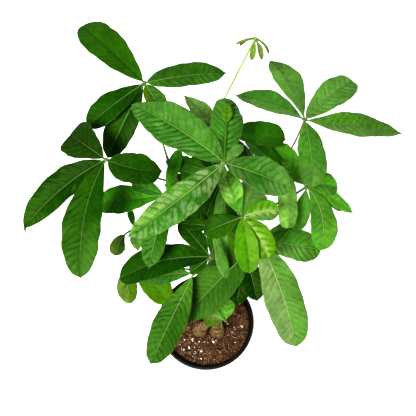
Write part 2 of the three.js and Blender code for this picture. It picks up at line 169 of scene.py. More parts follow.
LEAVES = {
    "leaf_crown": leaf(1, 421, (19, 56, 540),
        leaflet(141.3, 8, 128, 44, "jade", "herb", sweep=12, point=2, blunt=0.8, widest=0.48, bare=1.5,
            halves=(1.1, 1.03), quilt=(1.6, 0.6), lines=(-0.95, -0.4), sheen=0.1, rib=1.2),
        leaflet(86.5, 15, 96, 34, "fern", "mid", roll=12, blunt=0.55, widest=0.54, bare=1.5, base="mid",
            point=1, quilt=(0.6, 1.6), lines=(-0.6, -1.2), rib=1),
        leaflet(345, 15, 72, 38, "jade", tip="bright", blunt=0.4, widest=0.62, bare=1.5, point=1,
            base="forest", lines=(-0.55, -0.6), quilt=(0.8, 0.6), sheen=(0.15, 0.1), rib=1.2),
        leaflet(216, 12, 121, 36, "jade", "green", sweep=-12, bare=1.5, halves=(1.22, 0.82), blunt=0.8,
            widest=0.5, point=6, quilt=0.8, lines=(-0.5, -0.55), sheen=(0.35, 0.4), base="forest", rib=1.2),
        leaflet(48, 5, 30, 12, "soft"),
        leaflet(86.5, 8, 77, 12, "lime", "warm", arch=12, bare=50, widest=0.5, base="green", rib=0.2),
        leaflet(262, 14, 17, 9, "forest", bare=2),
        rise=0.48, drop=0.22,
    ),
    "leaf_fresh": leaf(1, 402, (39, 23, 480),
        leaflet(107, 2, 60, 25, "gleam", "sap", sweep=-10, bare=1.5, point=3, quilt=(0.35, 0.4),
            lines=(-0.7, -0.8), base="fern"),
        leaflet(10, 2, 44, 23, "zest", "soft", sweep=-24, roll=8, bare=1.5, point=5, quilt=0.4,
            lines=(-0.4, -0.2), sheen=(-0.35, -0.85), rib=2.4),
        leaflet(304, 19, 53, 31, "warm", sweep=-15, roll=10, bare=1.5, blunt=0.5, quilt=(0.5, 0.4),
            lines=(-0.8, -0.4), sheen=(-0.5, -0.1), rib=2.2),
        leaflet(278, 18, 60, 26, "lime", "zest", bare=1.5, blunt=0.5, point=2, **FAINT, rib=-0.6),
        leaflet(198, 18, 46, 26, "grass", "deep", bare=1.5, roll=-8, **FAINT),
        leaflet(69, 22, 54, 37, "mint", "soft", bare=1.5, roll=12, **FAINT),
    ),
    "leaf_far_right": leaf(1, 384, (113, 143, 480),
        leaflet(112, 5, 98, 33, "mint", "bright", sweep=22, roll=12, point=6, blunt=0.8, **FAINT),
        leaflet(151, 10, 92, 28, "soft", "mid", sweep=16, halves=(0.84, 1.1), point=8, blunt=0.85,
            widest=0.56, **FAINT),
        leaflet(43, 5, 86, 35, "soft", "bright", sweep=-10, blunt=0.36, widest=0.66, point=1,
            quilt=(0.3, 0.5)),
        leaflet(357, 10, 119, 34, "green", "soft", sweep=4, roll=-10, point=10, blunt=0.9, widest=0.54,
            quilt=(0.5, 0.4)),
        leaflet(273, 10, 80, 34, "mid", "fern", tip="bright", sweep=-16, roll=-10, blunt=0.5, point=1,
            quilt=0.5),
        slim=0.75, rise=0.04, drop=0.4, stalk="brown",
    ),
    "leaf_right": leaf(1, 368, (120, 88, 420),
        leaflet(134, -16, 70, 32, "sun", sweep=-8, halves=(1, 1.15), quilt=0.5),
        leaflet(281, 25, 83, 33, "green", "fern", sweep=-65, roll=-6, arch=30, quilt=(0.3, 0.35),
            lines=-0.3, rib=1.6),
        leaflet(4, 18, 43, 30, "sun", "fern", sweep=-30, arch=30, point=1),
        leaflet(341, 27, 74, 19, "sun", sweep=-10, point=12, widest=0.5),
        leaflet(341, 36, 63, 13, "mid", sweep=-10, point=6),
        leaflet(253, 32, 57, 22, "herb", "leafy", sweep=-20),
    ),
    "leaf_far_left": leaf(0, 405, (-70, 187, 490),
        leaflet(131.5, 5, 123, 38, "grass", sweep=-8, roll=-6, blunt=0.42, widest=0.64, point=1,
            halves=(0.98, 1.16), quilt=0.3, lines=-0.25, rib=-0.4),
        leaflet(11.5, 5, 98, 31, "moss", "forest", roll=8, widest=0.5, point=7, quilt=(0.3, 0.9)),
        leaflet(303, 20, 48, 23, "forest", "bud", widest=0.5, quilt=0.5),
        leaflet(217, 12, 85, 34, "deep", quilt=(0.4, 0.3), lines=-0.3),
        leaflet(239, 28, 98, 35, "night", "dark", roll=-10, quilt=0.4, lines=-0.3),
    ),
    "leaf_left": leaf(0, 388, (-106, 81, 500),
        leaflet(140.5, 10, 58, 42, "olive", roll=-12, blunt=0.28, widest=0.76, point=1, quilt=(0.5, 0.3),
            lines=-0.6, rib=0.5),
        leaflet(354, 12, 63, 39, "dark", sweep=34, widest=0.5, halves=(0.92, 1.08), point=5, quilt=0.3,
            lines=-0.3, rib=0.4),
        leaflet(216.5, 20, 124, 34, "night", tip="dark", sweep=24, halves=(0.84, 1.12), roll=-15, blunt=0.7,
            widest=0.52, point=20, hook=110, ruffle=1.6, lines=-0.3, rib=0.45),
        leaflet(260, 15, 130, 41, "deep", "dark", tip="forest", sweep=32, blunt=0.6, point=3, ruffle=1.2,
            lines=(-0.4, -0.7), rib=0.4, quilt=(0.5, 0.9)),
    ),
    "leaf_inner_left": leaf(0, 352, (-46, 72, 430),
        leaflet(183, 12, 90, 35, "vivid", "leafy"),
        leaflet(77, 5, 68, 16, "leafy", "vivid"),
        leaflet(157, 6, 46, 19, "jade"),
        leaflet(257, 15, 88, 29, "dark", "mid", tip="mid", point=7, quilt=1.0, lines=-0.9),
    ),
    "leaf_low_left": leaf(0, 300, (-15, 7, 336),
        leaflet(244, 12, 123, 37, "moss", "forest", halves=(1.16, 1), quilt=(1.8, 1.6), base="green",
            lines=(-0.95, -0.9), rib=1.2),
        leaflet(187, 10, 71, 25, "mid", sweep=22, point=8),
    ),
    "leaf_front": leaf(1, 306, (52, 35, 332),
        leaflet(222.5, 19, 124, 53, "forest", blunt=0.75, widest=0.45, halves=(1.04, 0.95), point=2,
            quilt=0.5, lines=-0.5, rib=1.2),
        leaflet(284, 20, 62, 30, "olive", "night"),
        leaflet(258, 27, 68, 30, "night"),
        leaflet(15, 20, 50, 24, "deep"),
    ),
    "leaf_inner_front": leaf(0, 318, (6, 10, 390),
        leaflet(190, 15, 118, 42, "deep", "dark", sweep=34, roll=8, blunt=0.45, widest=0.56, quilt=0.3),
        leaflet(128, 5, 63, 24, "dark", "deep", quilt=1),
        leaflet(74, 8, 48, 24, "grass"),
        leaflet(216, 10, 32, 16, "dark"),
    ),
    "leaf_centre": leaf(1, 358, (21, 98, 430),
        leaflet(273, 20, 112, 32, "grass", "mint"),
        leaflet(215, 20, 65, 26, "deep"),
        leaflet(158, 10, 60, 22, "jade", "grass"),
        leaflet(128, 5, 40, 22, "night"),
        leaflet(246, 22, 57, 24, "dark", widest=0.68),
        leaflet(20, 12, 52, 28, "deep"),
    ),
    "leaf_inner_back": leaf(0, 350, (-6, 113, 385),
        leaflet(133, 8, 54, 24, "vivid"),
        leaflet(93, 5, 50, 20, "dark"),
        leaflet(182, 12, 48, 26, "vivid"),
        leaflet(270, 15, 66, 24, "grass"),
        leaflet(312, 20, 44, 20, "deep"),
    ),
    "leaf_folded": leaf(0, 322, (7, 33, 430),
        leaflet(287.5, 22, 62, 14, "herb", "soft", blunt=0.7, widest=0.7, point=2),
        leaflet(168, 15, 38, 17, "dark", "grass"),
    ),
    "leaf_inner_right": leaf(1, 412, (92, 93, 455),
        leaflet(274, 35, 69, 23, "soft", "gleam", blunt=0.3, point=0),
        leaflet(128, 15, 72, 24, "sun", "vivid", sweep=-18, roll=10),
    ),
    "leaf_front_right": leaf(1, 344, (64, 33, 388),
        leaflet(289, 15, 134, 45, "bright", "pale", sweep=-14, roll=8, blunt=0.5, quilt=(0.5, 0.35),
            lines=(-0.5, -0.3), rib=2.4),
        leaflet(355, 12, 80, 38, "fern", "soft", tip="green", sweep=6, roll=10, blunt=0.5, quilt=(0.5, 1.2),
            lines=(-0.6, -0.8), rib=1.6),
        leaflet(23, 15, 63, 20, "flash"),
    ),
    "leaf_sprout": leaf(1, 124, (27.7, -24.8, 220),
        leaflet(171, 12, 36, 29, "warm", "fern", sweep=50, blunt=0.5, lines=0.8, sheen=-0.35, rib=2),
        leaflet(82, 2, 34, 22, "sun", lines=1.2, rib=1.4),
        slim=0.9,
    ),
    "leaf_lowest_left": leaf(0, 290, (-99, 36, 300),
        leaflet(271, 30, 59, 27, "bud", "gold", sweep=50, point=2),
        leaflet(314, 20, 77, 36, "warm", sweep=-15, quilt=0.2, lines=-0.2),
    ),
    "leaf_outer_left": leaf(0, 376, (-87, 50, 380),
        leaflet(236, 20, 42, 19, "moss", "dusk", sweep=80, bare=13, blunt=0.5, widest=0.65, point=1),
        leaflet(281, 30, 29, 15, "glow", blunt=1, widest=0.45, point=5),
        leaflet(105, 5, 30, 9, "leafy"),
    ),
    "leaf_back": leaf(2, 425, (28, 132, 465),
        leaflet(359, 8, 67, 34, "vivid", "leafy", tip="grass", sweep=-24, blunt=0.5, quilt=0.2,
            lines=-0.25),
        leaflet(300, 42, 46, 22, "deep"),
    ),
    "leaf_back_left": leaf(2, 398, (22, 157, 425),
        leaflet(129.5, 4, 80, 23, "dull", blunt=1, widest=0.5, point=8),
        leaflet(200, 12, 52, 22, "deep"),
    ),
    "leaf_bud": leaf(2, 453, (55, 210, 540),
        leaflet(204, 15, 21, 4, "olive", sweep=40, arch=50, point=3),
        leaflet(194, 10, 26, 4, "sprig", sweep=-20, arch=50, point=6),
        leaflet(256, 60, 27, 7, "sprig", point=3, lines=0.4),
        leaflet(306, 60, 29, 7, "sprig", sweep=-20, point=5, lines=0.4),
        leaflet(336, 50, 28, 4, "sprig", tip="twig", sweep=-30, arch=50, point=3),
        slim=0.75, stalk="young",
    ),
}
FRESH_LEAVES = ("leaf_fresh", "leaf_sprout", "leaf_lowest_left", "leaf_bud")
STALK_LOOKS = {"stalk": (92, 140, 44), "brown": (116, 104, 60), "young": (150, 184, 50)}


# Small maths


def lerp(a, b, share):
    return a + (b - a) * share


def smooth(x, low, high):
    t = np.clip((x - low) / (high - low), 0, 1)
    return t * t * (3 - 2 * t)


def unit(v):
    return v / np.linalg.norm(v, axis=-1, keepdims=True)


def ring_turns(sides):
    """Angles of the corners of a ring."""
    return np.arange(sides) * 2 * pi / sides


def paint(rgb, gain=LIGHT_GAIN):
    """A colour as the photo shows it, as linear light scaled by gain."""
    c = np.array(rgb) / 255
    return np.where(c < 0.04045, c / 12.92, ((c + 0.055) / 1.055) ** 2.4) * gain


# Mesh tools


def add_object(name, data):
    thing = bpy.data.objects.new(name, data)
    bpy.context.scene.collection.objects.link(thing)
    return thing


class Mesh:
    """Points in millimetres, faces, and a named value for each point, gathered piece by piece."""

    def __init__(self):
        self.points, self.faces, self.slots, self.values = [], [], [], {}
        self.count = 0

    def add(self, points, faces, slot=0, **values):
        points = np.asarray(points, float).reshape(-1, 3)
        self.points.append(points)
        self.faces += [tuple(i + self.count for i in face) for face in faces]
        self.slots += [slot] * len(faces)
        for name, value in values.items():
            self.values.setdefault(name, []).append((self.count, np.asarray(value, float)))
        self.count += len(points)

    def build(self, name, *materials, smooth_faces=True):
        mesh = bpy.data.meshes.new(name)
        mesh.from_pydata(np.concatenate(self.points) * MM, [], self.faces)
        mesh.polygons.foreach_set("use_smooth", [smooth_faces] * len(self.faces))
        for material in materials:
            mesh.materials.append(material)
        mesh.polygons.foreach_set("material_index", self.slots)
        for value_name, parts in self.values.items():
            wide = parts[0][1].ndim == 2
            kind = "FLOAT_COLOR" if wide else "FLOAT"
            data = np.ones((self.count, 4)) if wide else np.zeros(self.count)
            for start, value in parts:
                rows = data[start : start + len(value)]
                (rows[:, :3] if wide else rows)[:] = value
            layer = mesh.attributes.new(value_name, kind, "POINT")
            layer.data.foreach_set("color" if wide else "value", data.ravel())
        mesh.update()
        return add_object(name, mesh)


def ring_faces(rings, sides):
    """Faces of a closed skin over rings of points that run anticlockwise seen from the last ring."""
    faces = []
    for k in range(rings - 1):
        for i in range(sides):
            j = (i + 1) % sides
            faces.append((k * sides + i, k * sides + j, (k + 1) * sides + j, (k + 1) * sides + i))
    faces.append(tuple(range(sides - 1, -1, -1)))
    faces.append(tuple((rings - 1) * sides + i for i in range(sides)))
    return faces


def tube(path, radii, sides, relief=None):
    """Rings of points round a path. relief(turn, k) adds to the radius."""
    path = np.asarray(path, float)
    radii = np.broadcast_to(radii, len(path))
    along = unit(np.gradient(path, axis=0))
    out = np.cross(along[0], (0, 0, 1.0))
    if np.linalg.norm(out) < 0.05:
        out = np.cross(along[0], (0, 1.0, 0))
    out = unit(out)
    turns = ring_turns(sides)
    rings = []
    for k, (place, forward) in enumerate(zip(path, along)):
        out = unit(out - forward * np.dot(out, forward))
        other = np.cross(forward, out)
        size = radii[k] + (relief(turns, k) if relief else 0)
        round_ = np.outer(np.cos(turns), out) + np.outer(np.sin(turns), other)
        rings.append(place + round_ * np.broadcast_to(size, sides)[:, None])
    return np.concatenate(rings)


def finish_piece(piece, slot, *nodes):
    """Ties a piece to the part and lets it stand for its nodes. Its slot is not used."""
    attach(piece, "root")
    if nodes:
        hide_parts(*nodes)


# Node tools


class Shader:
    """A material's node tree, with short ways to add and join nodes."""

    def __init__(self, name, **settings):
        self.material = bpy.data.materials.new(name)
        self.material.use_nodes = True
        self.nodes = self.material.node_tree.nodes
        self.links = self.material.node_tree.links
        self.surface = self.nodes["Principled BSDF"]
        self.cover(**settings)

    def put(self, value, socket):
        if isinstance(value, bpy.types.NodeSocket):
            self.links.new(value, socket)
        elif value is not None:
            socket.default_value = value

    def node(self, kind, **inputs):
        node = self.nodes.new("ShaderNode" + kind)
        for name, value in inputs.items():
            self.put(value, node.inputs[name.replace("_", " ")])
        return node

    def attribute(self, name, colour=False):
        node = self.node("Attribute")
        node.attribute_name = name
        return node.outputs["Color" if colour else "Fac"]

    def math(self, operation, a, b=None):
        node = self.node("Math")
        node.operation = operation
        for value, socket in zip((a, b), node.inputs):
            self.put(value, socket)
        return node.outputs[0]

    def times(self, first, *others):
        """The product of two or more values."""
        for other in others:
            first = self.math("MULTIPLY", first, other)
        return first

    def span(self, value, low, high, to_low=0.0, to_high=1.0):
        """value from low to high, eased into to_low to to_high."""
        node = self.node("MapRange")
        node.interpolation_type = "SMOOTHSTEP"
        for entry, socket in zip((value, low, high, to_low, to_high), node.inputs):
            self.put(entry, socket)
        return node.outputs["Result"]

    def blend(self, share, a, b, kind="MIX"):
        node = self.node("Mix")
        node.data_type = "RGBA"
        node.blend_type = kind
        self.put(share, node.inputs[0])
        for value, socket in zip((a, b), (node.inputs[6], node.inputs[7])):
            self.put((*value, 1) if isinstance(value, (tuple, np.ndarray)) else value, socket)
        return node.outputs[2]

    def scale(self, colour, factor):
        node = self.node("VectorMath")
        node.operation = "SCALE"
        self.links.new(colour, node.inputs[0])
        self.links.new(factor, node.inputs["Scale"])
        return node.outputs[0]

    def above(self, value):
        """How far value lies above nought, up to one."""
        return self.node("Clamp", Value=value).outputs[0]

    def below(self, value):
        """How far value lies below nought, up to one."""
        return self.above(self.times(value, -1))

    def place(self):
        return self.node("TexCoord").outputs["Object"]

    def height(self):
        return self.node("SeparateXYZ", Vector=self.place()).outputs["Z"]

    def noise(self, scale, detail=4, rough=0.55, where=None):
        where = where or self.place()
        return self.node("TexNoise", Scale=scale, Detail=detail, Roughness=rough, Vector=where).outputs["Fac"]

    def net(self, scale):
        """Distance to the nearest edge of a net of cells."""
        node = self.node("TexVoronoi", Scale=scale, Vector=self.place())
        node.feature = "DISTANCE_TO_EDGE"
        return node.outputs["Distance"]

    def bump(self, height, distance, strength=1.0, below=None):
        node = self.node("Bump", Height=height, Distance=distance, Strength=strength, Normal=below)
        return node.outputs["Normal"]

    def cover(self, **inputs):
        """Sets or joins inputs of the surface."""
        for name, value in inputs.items():
            self.put(value, self.surface.inputs[name.replace("_", " ")])


# Materials


def leaf_marks(s):
    """What the marks of a leaflet share: places on the blade, the count of side veins, and grains."""
    phase = s.math("ADD", s.attribute("phase"), s.span(s.noise(60, 2), 0.3, 0.7, -0.18, 0.18))
    return SimpleNamespace(
        phase=phase, near=s.math("PINGPONG", phase, 0.5),
        across=s.math("ABSOLUTE", s.attribute("across")), along=s.attribute("along"),
        off_rib=s.math("ABSOLUTE", s.attribute("off_rib")), under=s.attribute("under"),
        spots=s.noise(190, 3), net=s.net(620),
    )


def leaf_ground(s, mark):
    """The look of the half, with its painted light and shade, and patches, spots and a fine net."""
    patches = s.span(s.noise(30, 3), 0.3, 0.7, 0.8, 1.2)
    spots = s.span(mark.spots, 0.3, 0.7, 0.86, 1.14)
    net = s.span(mark.net, 0.0, 0.14, 0.92, 1.02)
    return s.scale(s.attribute("tint", colour=True), s.times(patches, spots, net))


def side_veins(s, colour, mark, dark):
    """Each side vein is a soft dark line of painted shade in its groove with a painted highlight behind it,
    or a pale line.
    """
    lines = s.attribute("lines")
    after = s.math("FRACT", mark.phase)
    inside = s.times(s.span(mark.across, 1.0, 0.82), s.span(mark.along, 1.0, 0.9))
    broken = s.span(s.noise(85, 2), 0.4, 0.6, 0.22, 1.1)
    depth = s.times(s.below(lines), inside, broken)
    # painted shade in the creases of the side veins
    crease_shade = s.times(s.span(mark.near, 0.2, 0.0), depth)
    # painted highlights on the ridges behind the creases
    ridge_highlight = s.times(s.span(after, 0.1, 0.35), s.span(after, 0.8, 0.4), depth)
    wide = s.span(mark.across, 0.8, 0.05, 0.08, 0.38)
    line = s.times(s.span(mark.near, wide, 0.01), inside, s.above(lines))
    # colour of the painted highlights
    lit = s.blend(1.0, colour, (1.5, 1.32, 1.4), "MULTIPLY")
    pale = s.blend(0.55, colour, paint((206, 232, 140)))
    colour = s.blend(ridge_highlight, colour, lit)
    colour = s.blend(crease_shade, colour, dark)
    return s.blend(line, colour, pale)


def leaf_sheen(s, colour, mark):
    """Painted sheen in pale streaks between the side veins, or a painted highlight in pale yellow tongues
    beside the midrib.
    """
    sheen = s.attribute("sheen")
    streak = s.times(s.span(s.noise(80, 5, 0.7), 0.4, 0.6), s.span(mark.near, 0.0, 0.3, 0.35, 1.0))
    # painted sheen: pale streaks standing in for reflected light
    painted_sheen = s.times(streak, s.above(sheen), s.span(mark.across, 0.0, 0.3))
    colour = s.blend(painted_sheen, colour, paint((196, 222, 158)))
    tongue = s.span(mark.near, 0.0, 0.35, 0.25, 0.75)
    specks = s.span(mark.spots, 0.3, 0.6, 0.45, 1.0)
    # painted highlight: pale yellow tongues beside the midrib
    young = s.times(s.span(mark.across, tongue, 0.02), s.below(sheen), specks)
    return s.blend(young, colour, paint((212, 238, 132)))


def midrib(s, colour, mark, dark):
    """The midrib, pale or dark, with a line of painted shade on each side."""
    rib = s.attribute("rib")
    # painted shade along both sides of the midrib
    beside = s.times(s.span(mark.off_rib, 1.8, 0.5), s.span(mark.along, 1.0, 0.9, 0.0, 0.4))
    colour = s.blend(beside, colour, dark)
    width = s.span(mark.along, 0.0, 1.0, 0.46, 0.16)
    on_rib = s.times(s.math("LESS_THAN", mark.off_rib, width), s.span(mark.along, 1.0, 0.8))
    bright = s.blend(s.span(rib, 0.8, 2.4, 0.5, 1.0), colour, paint((186, 226, 130)))
    colour = s.blend(s.times(on_rib, s.above(rib)), colour, bright)
    return s.blend(s.times(on_rib, s.below(rib)), colour, dark)


def edge_and_underside(s, colour, mark):
    """The margin is thin and a little yellow, and the underside paler."""
    margin = s.times(s.span(mark.across, 0.92, 1.0), s.span(mark.spots, 0.35, 0.65, 0.1, 0.6))
    colour = s.blend(margin, colour, paint((116, 142, 36)))
    paler = s.blend(0.5, colour, paint((128, 168, 92)))
    return s.blend(s.times(mark.under, 0.7), colour, paler)


def leaf_relief(s, mark):
    """The finest relief of a blade: its net, its spots and a grain."""
    skin = s.bump(mark.net, 0.0002, 0.5)
    skin = s.bump(mark.spots, 0.0005, 0.5, skin)
    return s.bump(s.noise(700, 2), 0.0002, 0.5, skin)


def let_light_through(s, colour, share):
    """Mixes in a share of light that shines through from the other side."""
    glow = s.node("BsdfTranslucent", Color=s.blend(1.0, colour, (1.0, 1.1, 0.5), "MULTIPLY"))
    mixed = s.node("MixShader", Fac=share)
    s.links.new(s.surface.outputs[0], mixed.inputs[1])
    s.links.new(glow.outputs[0], mixed.inputs[2])
    s.links.new(mixed.outputs[0], s.nodes["Material Output"].inputs["Surface"])


def leaf_material():
    s = Shader("leaf_blade", Specular_IOR_Level=0.12, Specular_Tint=(0.5, 0.8, 0.15, 1))
    mark = leaf_marks(s)
    colour = leaf_ground(s, mark)
    # the colour of painted shade, for the creases of the side veins and beside the midrib, also taken by a
    # dark midrib
    dark = s.blend(1.0, colour, (0.2, 0.34, 0.16), "MULTIPLY")
    colour = side_veins(s, colour, mark, dark)
    colour = leaf_sheen(s, colour, mark)
    colour = midrib(s, colour, mark, dark)
    colour = edge_and_underside(s, colour, mark)
    uneven = s.span(mark.spots, 0.3, 0.7, -0.03, 0.06)
    rough = s.math("ADD", s.span(mark.under, 0, 1, 0.44, 0.6), uneven)
    s.cover(Base_Color=colour, Roughness=rough, Normal=leaf_relief(s, mark))
    let_light_through(s, colour, 0.2)
    return s.material


def stalk_material():
    s = Shader("leaf_stalk", Specular_IOR_Level=0.3, Roughness=0.5)
    streak = s.noise(160, 4)
    tint = s.attribute("tint", colour=True)
    brown = s.blend(1.0, tint, (0.8, 0.6, 0.6), "MULTIPLY")
    colour = s.blend(s.span(streak, 0.42, 0.68), tint, brown)
    s.cover(Base_Color=colour, Normal=s.bump(s.noise(900), 0.0002, 0.6))
    return s.material


def stem_material():
    s = Shader("stem_bark", Specular_IOR_Level=0.3)
    stretched = s.node("Mapping", Vector=s.place())
    stretched.inputs["Scale"].default_value = (1, 1, 0.22)
    cracks = s.noise(420, 6, 0.65, stretched.outputs[0])
    flakes = s.noise(110, 5)
    tan = paint((184, 146, 90))
    brown = paint((70, 42, 16))
    bark = s.blend(s.span(cracks, 0.4, 0.66), tan, brown)
    bark = s.blend(s.span(flakes, 0.48, 0.7, 0.0, 0.6), bark, paint((120, 112, 72)))
    green = s.blend(s.span(flakes, 0.35, 0.7), paint((104, 142, 58)), paint((92, 104, 50)))
    colour = s.blend(s.span(s.height(), *GREEN_WOOD), bark, green)
    colour = s.blend(s.times(s.attribute("ring"), 0.95), colour, paint((36, 20, 6)))
    rough = s.span(s.height(), *GREEN_WOOD, 0.85, 0.5)
    s.cover(Base_Color=colour, Roughness=rough, Normal=s.bump(cracks, 0.0012, 0.8))
    return s.material


def soil_material(name, dark, light):
    s = Shader(name, Specular_IOR_Level=0.2, Roughness=0.95)
    grain = s.noise(260, 8, 0.7)
    colour = s.blend(s.span(grain, 0.35, 0.68), paint(dark), paint(light))
    darker = paint(dark, 0.7 * LIGHT_GAIN)
    colour = s.blend(s.span(s.noise(60, 4), 0.4, 0.65, 0.0, 0.5), colour, darker)
    s.cover(Base_Color=colour, Normal=s.bump(grain, 0.0015, 1.0))
    return s.material


def bits_material(name, low, high, rough, gain=LIGHT_GAIN):
    """Small loose bits: each takes its own shade between two colours."""
    s = Shader(name, Specular_IOR_Level=0.25, Roughness=rough)
    grain = s.noise(900, 4)
    colour = s.blend(s.attribute("shade"), paint(low, gain), paint(high, gain))
    colour = s.blend(s.span(grain, 0.4, 0.7, 0.0, 0.35), colour, paint(low, 0.6 * gain))
    s.cover(Base_Color=colour, Normal=s.bump(grain, 0.0006, 0.8))
    return s.material


def pot_material():
    s = Shader("pot_plastic", Specular_IOR_Level=0.12)
    blotches = s.noise(70, 6, 0.7)
    grain = s.noise(1400, 2)
    black = paint((12, 10, 9), 1)
    brownish = paint((60, 48, 36), 1)
    higher = s.span(s.height(), 0.0, POT["height"] * MM, 0.1, 0.24)
    # brownish patches on the black, more of them towards the rim
    brownish_share = s.times(s.span(blotches, 0.5, 0.75), higher)
    rough = s.math("ADD", s.span(blotches, 0.3, 0.7, 0.34, 0.52), s.times(grain, 0.06))
    s.cover(Base_Color=s.blend(brownish_share, black, brownish), Roughness=rough, Normal=s.bump(grain, 0.00015, 0.5))
    return s.material


def floor_material():
    """A white sheet that glows a little, like a lit studio table."""
    s = Shader("floor", Roughness=0.9, Specular_IOR_Level=0.1)
    s.cover(Emission_Color=(1, 1, 1, 1), Emission_Strength=LIGHT["floor"])
    speck = s.noise(3, 2)
    s.cover(Base_Color=s.blend(s.span(speck, 0.3, 0.7), (0.86, 0.86, 0.86), (0.89, 0.89, 0.89)))
    return s.material


# The pot's wall, and the stems


def pot_outside(z):
    return lerp(POT["base"], POT["rim"] - POT["lip_out"], z / POT["height"])


def pot_inside(z):
    return pot_outside(z) - POT["wall"]


def through(points):
    """A smooth curve through points, with its tension set by their distances."""
    steps = 8
    p = np.asarray(points, float)
    p = np.vstack([2 * p[0] - p[1], p, 2 * p[-1] - p[-2]])
    curve = []
    for k in range(1, len(p) - 2):
        a, b, c, d = p[k - 1 : k + 3]
        da, db, dc = (np.linalg.norm(v) ** 0.5 for v in (b - a, c - b, d - c))
        start = ((b - a) / da - (c - a) / (da + db) + (c - b) / db) * db
        end = ((c - b) / db - (d - b) / (db + dc) + (d - c) / dc) * db
        for t in np.arange(steps) / steps:
            square = (3 * (c - b) - 2 * start - end) * t**2
            cube = (2 * (b - c) + start + end) * t**3
            curve.append(b + start * t + square + cube)
    curve.append(p[-2])
    return np.array(curve)


def stem_path(stem):
    """The middle line of a stem: up from its foot, round the twist, and along its shoot."""
    level, top = SOIL["level"], STEM["top"]
    points = []
    for z in range(STEM["foot"], top, STEM["step"]):
        rise = max(0, (z - level) / (top - level))
        angle = radians(stem["turn"] + STEM["twist"] * rise)
        x = STEM["middle"][0] + STEM["drift"][0] * rise + STEM["apart"] * cos(angle)
        y = STEM["middle"][1] + STEM["drift"][1] * rise + STEM["apart"] * sin(angle)
        join = smooth(z, level, level + 60)
        points.append((lerp(stem["foot"][0], x, join), lerp(stem["foot"][1], y, join), z))
    return through(points + stem["shoot"])


def stem_radius(z, end):
    level, top = SOIL["level"], STEM["top"]
    root = lerp(0.75 * STEM["bulb"], STEM["bulb"], smooth(z, level - 30, level + 3))
    wood = lerp(root, STEM["waist"], smooth(z, level + 4, level + 38))
    green = lerp(wood, STEM["shoot"], smooth(z, top - 10, top + 45))
    return lerp(green, STEM["tip"], smooth(z, end - 60, end))


STEM_PATHS = [stem_path(stem) for stem in STEMS.values()]


def stem_point(k, height):
    path = STEM_PATHS[k]
    return np.array([np.interp(height, path[:, 2], path[:, axis]) for axis in range(3)])


def evenly(path, step):
    """The same path with its points a step apart, and their distances from its start."""
    length = np.concatenate([[0], np.cumsum(np.linalg.norm(np.diff(path, axis=0), axis=1))])
    distance = np.arange(0, length[-1], step)
    return np.stack([np.interp(distance, length, path[:, axis]) for axis in range(3)], axis=1), distance


def growth_rings(distance, z, k):
    """Scars round stem k, by the distance up it: sharp, uneven, and faint on the green shoot."""
    count = (distance + 3 * np.sin(distance / 23 + k)) / (BARK["rings_apart"] + k)
    scar = 0.5 + 0.5 * np.cos(2 * pi * count)
    ring = scar**10 * smooth(z, SOIL["level"], SOIL["level"] + 12)
    return ring * lerp(1.0, 0.35, smooth(z, 200, 320))


def make_stems():
    bark, sides = stem_material(), BARK["sides"]
    for k, name in enumerate(STEMS):
        path, distance = evenly(STEM_PATHS[k], BARK["row"])
        z = path[:, 2]
        radii = stem_radius(z, z[-1])
        ring = growth_rings(distance, z, k)

        def relief(turns, i):
            knots = 0.35 * np.sin(3 * turns + distance[i] / 9 + k) + 0.2 * np.sin(5 * turns - distance[i] / 5)
            return knots * radii[i] / 12 - BARK["ring_depth"] * ring[i]

        mesh = Mesh()
        mesh.add(tube(path, radii, sides, relief), ring_faces(len(path), sides), ring=np.repeat(ring, sides))
        finish_piece(mesh.build(f"trunk_{k + 1}", bark), "bark", name)


# Leaves


def outline(s, widest, blunt, point):
    """Half width of a blade at a share of its length, with a drawn-out point at its end."""
    t = np.clip(s / (1 - 0.4 * point), 0, 1)
    body = (t / widest) ** (blunt * widest / (1 - widest)) * ((1 - t) / (1 - widest)) ** blunt
    drawn = 0.42 * np.clip((1 - s) / (2 * point + 0.001), 0, 1) * smooth(s, 0.5, 0.9) * min(1, point / 0.03)
    return np.maximum((body**4 + drawn**4) ** 0.25, 0)


def midline(hub, form, s):
    """Places on a leaflet's midrib, with the directions of its left side and its upper face."""
    steps = np.arange(BLADE["steps"] + 1) / BLADE["steps"]

    def ahead(t):
        turn = np.radians(form["to"] + form["sweep"] * (t - 0.5) + form["hook"] * smooth(t, 0.9, 1))
        down = np.radians(form["dip"] + form["arch"] * (t - 0.5))
        level = np.stack([-np.sin(turn), np.cos(turn), 0 * turn], -1)
        flat = np.cos(down)
        return np.stack([np.cos(turn) * flat, np.sin(turn) * flat, -np.sin(down)], -1), level

    strides = ahead(steps)[0][:-1] * form["long"] / BLADE["steps"]
    line = np.concatenate([[hub], hub + np.cumsum(strides, axis=0)])
    places = np.stack([np.interp(s, steps, line[:, axis]) for axis in range(3)], -1)
    forward, level = ahead(s)
    roll = radians(form["roll"])
    side = level * cos(roll) + np.cross(forward, level) * sin(roll)
    return places, side, np.cross(forward, side)


def vein_phase(form, s, off, rng):
    """Counts the side veins up a half, whole numbers on a vein, with uneven distances."""
    count = form["long"] / BLADE["vein"]
    a, b = rng.uniform(0, ANY_TURN), rng.uniform(0, ANY_TURN)
    lean = (np.abs(off) * BLADE["lean"] + off**2 * BLADE["bend"]) / form["long"]
    uneven = 0.014 * np.sin(11 * s + a) + 0.008 * np.sin(27 * s + b)
    uneven = uneven + 0.004 * np.sin(0.3 * off + 9 * s + b) * np.minimum(1, np.abs(off) / 6)
    return count * (s - lean + uneven) + rng.random() + 20


